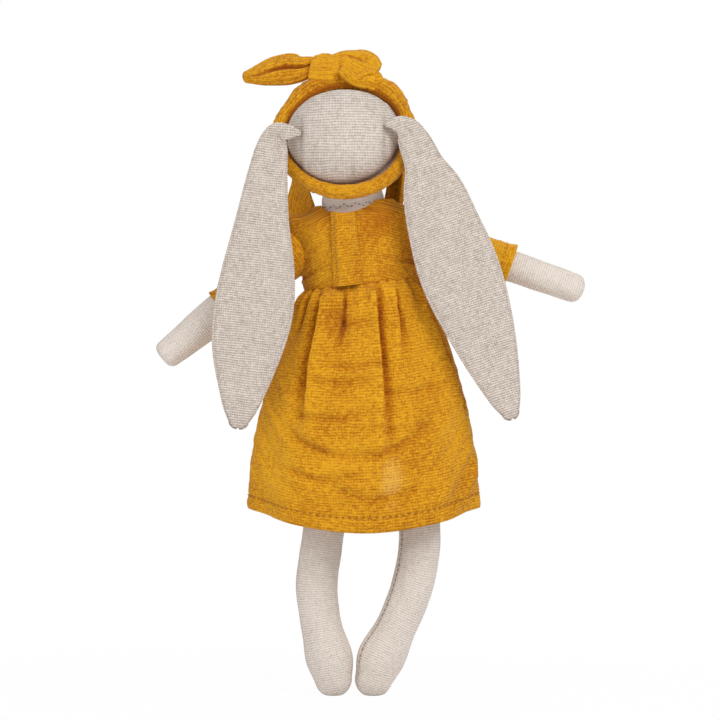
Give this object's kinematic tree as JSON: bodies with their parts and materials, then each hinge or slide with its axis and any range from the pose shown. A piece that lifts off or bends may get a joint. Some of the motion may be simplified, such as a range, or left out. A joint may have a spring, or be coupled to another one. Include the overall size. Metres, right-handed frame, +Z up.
{
  "type": "plush bunny",
  "caption": "Linen rag-doll bunny with long hanging ears, stuffed limbs, a gathered muslin dress with a back placket and a headband tied in a bow.",
  "frame": {"origin": "floor point under the middle of the doll's bounding box", "axes": "+Z up, the face looks along +Y, the back of the dress faces -Y, +X is to the right seen from behind"},
  "size_m": [0.2064, 0.0718, 0.3102],
  "materials": {
    "linen": "plain woven, matte",
    "muslin": "double gauze, matte",
    "wadding": "loose fibre",
    "thread": "satin stitch",
    "elastic": "knitted cover",
    "snap": "pressed sheet"
  },
  "bodies": {
    "torso": {"torso_skin": "linen", "torso_stuffing": "wadding", "bodice_front": "muslin", "bodice_back_left": "muslin", "bodice_back_right": "muslin", "snap_stud_lower": "snap", "snap_stud_upper": "snap", "neck_frill": "muslin", "skirt": "muslin"},
    "placket": {"placket_flap": "muslin", "snap_socket_lower": "snap", "snap_socket_upper": "snap"},
    "head": {"head_skin": "linen", "head_stuffing": "wadding", "eye_left": "thread", "eye_right": "thread", "nose": "thread"},
    "headband": {"headband_casing": "muslin", "headband_elastic": "elastic", "bow_knot": "muslin", "bow_tail_left": "muslin", "bow_tail_right": "muslin"},
    "ear_left": {"ear_left_outer": "linen", "ear_left_lining": "linen"},
    "ear_right": {"ear_right_outer": "linen", "ear_right_lining": "linen"},
    "arm_left": {"arm_left_skin": "linen", "arm_left_stuffing": "wadding", "sleeve_left": "muslin"},
    "arm_right": {"arm_right_skin": "linen", "arm_right_stuffing": "wadding", "sleeve_right": "muslin"},
    "leg_left": {"leg_left_skin": "linen", "leg_left_stuffing": "wadding"},
    "leg_right": {"leg_right_skin": "linen", "leg_right_stuffing": "wadding"}
  },
  "joints": [
    {"name": "head_nod", "type": "hinge", "parent": "torso", "child": "head", "pos_m": [-0.00833, 0, 0.23776], "axis": [-0.9945, 0, -0.1045], "range_deg": [0, 16], "stiffness_Nm_per_rad": 0.12},
    {"name": "ear_left_lift", "type": "hinge", "parent": "head", "child": "ear_left", "pos_m": [-0.0402, -0.0195, 0.27026], "axis": [-1, 0, 0], "range_deg": [0, 120]},
    {"name": "ear_right_lift", "type": "hinge", "parent": "head", "child": "ear_right", "pos_m": [0.01413, -0.0195, 0.27326], "axis": [-1, 0, 0], "range_deg": [0, 120]},
    {"name": "headband_turn", "type": "hinge", "parent": "head", "child": "headband", "pos_m": [-0.01273, -0.003, 0.26776], "axis": [0.0905, 0.8613, -0.5], "range_deg": [-12, 12]},
    {"name": "arm_left_swing", "type": "hinge", "parent": "torso", "child": "arm_left", "pos_m": [-0.03701, 0.0015, 0.21213], "axis": [0, 1, 0], "range_deg": [-10, 60], "stiffness_Nm_per_rad": 0.08},
    {"name": "arm_right_swing", "type": "hinge", "parent": "torso", "child": "arm_right", "pos_m": [0.02484, 0.0015, 0.22064], "axis": [0, -1, 0], "range_deg": [-20, 42], "stiffness_Nm_per_rad": 0.08},
    {"name": "leg_left_swing", "type": "hinge", "parent": "torso", "child": "leg_left", "pos_m": [-0.0137, 0, 0.13564], "axis": [1, 0, 0], "range_deg": [-14, 14], "stiffness_Nm_per_rad": 0.4},
    {"name": "leg_right_swing", "type": "hinge", "parent": "torso", "child": "leg_right", "pos_m": [0.0123, 0, 0.13564], "axis": [1, 0, 0], "range_deg": [-14, 14], "stiffness_Nm_per_rad": 0.4},
    {"name": "placket_open", "type": "hinge", "parent": "torso", "child": "placket", "pos_m": [-0.00512, -0.02057, 0.21296], "axis": [-0.1045, 0, 0.9945], "range_deg": [0, 100], "stiffness_Nm_per_rad": 0.002}
  ]
}
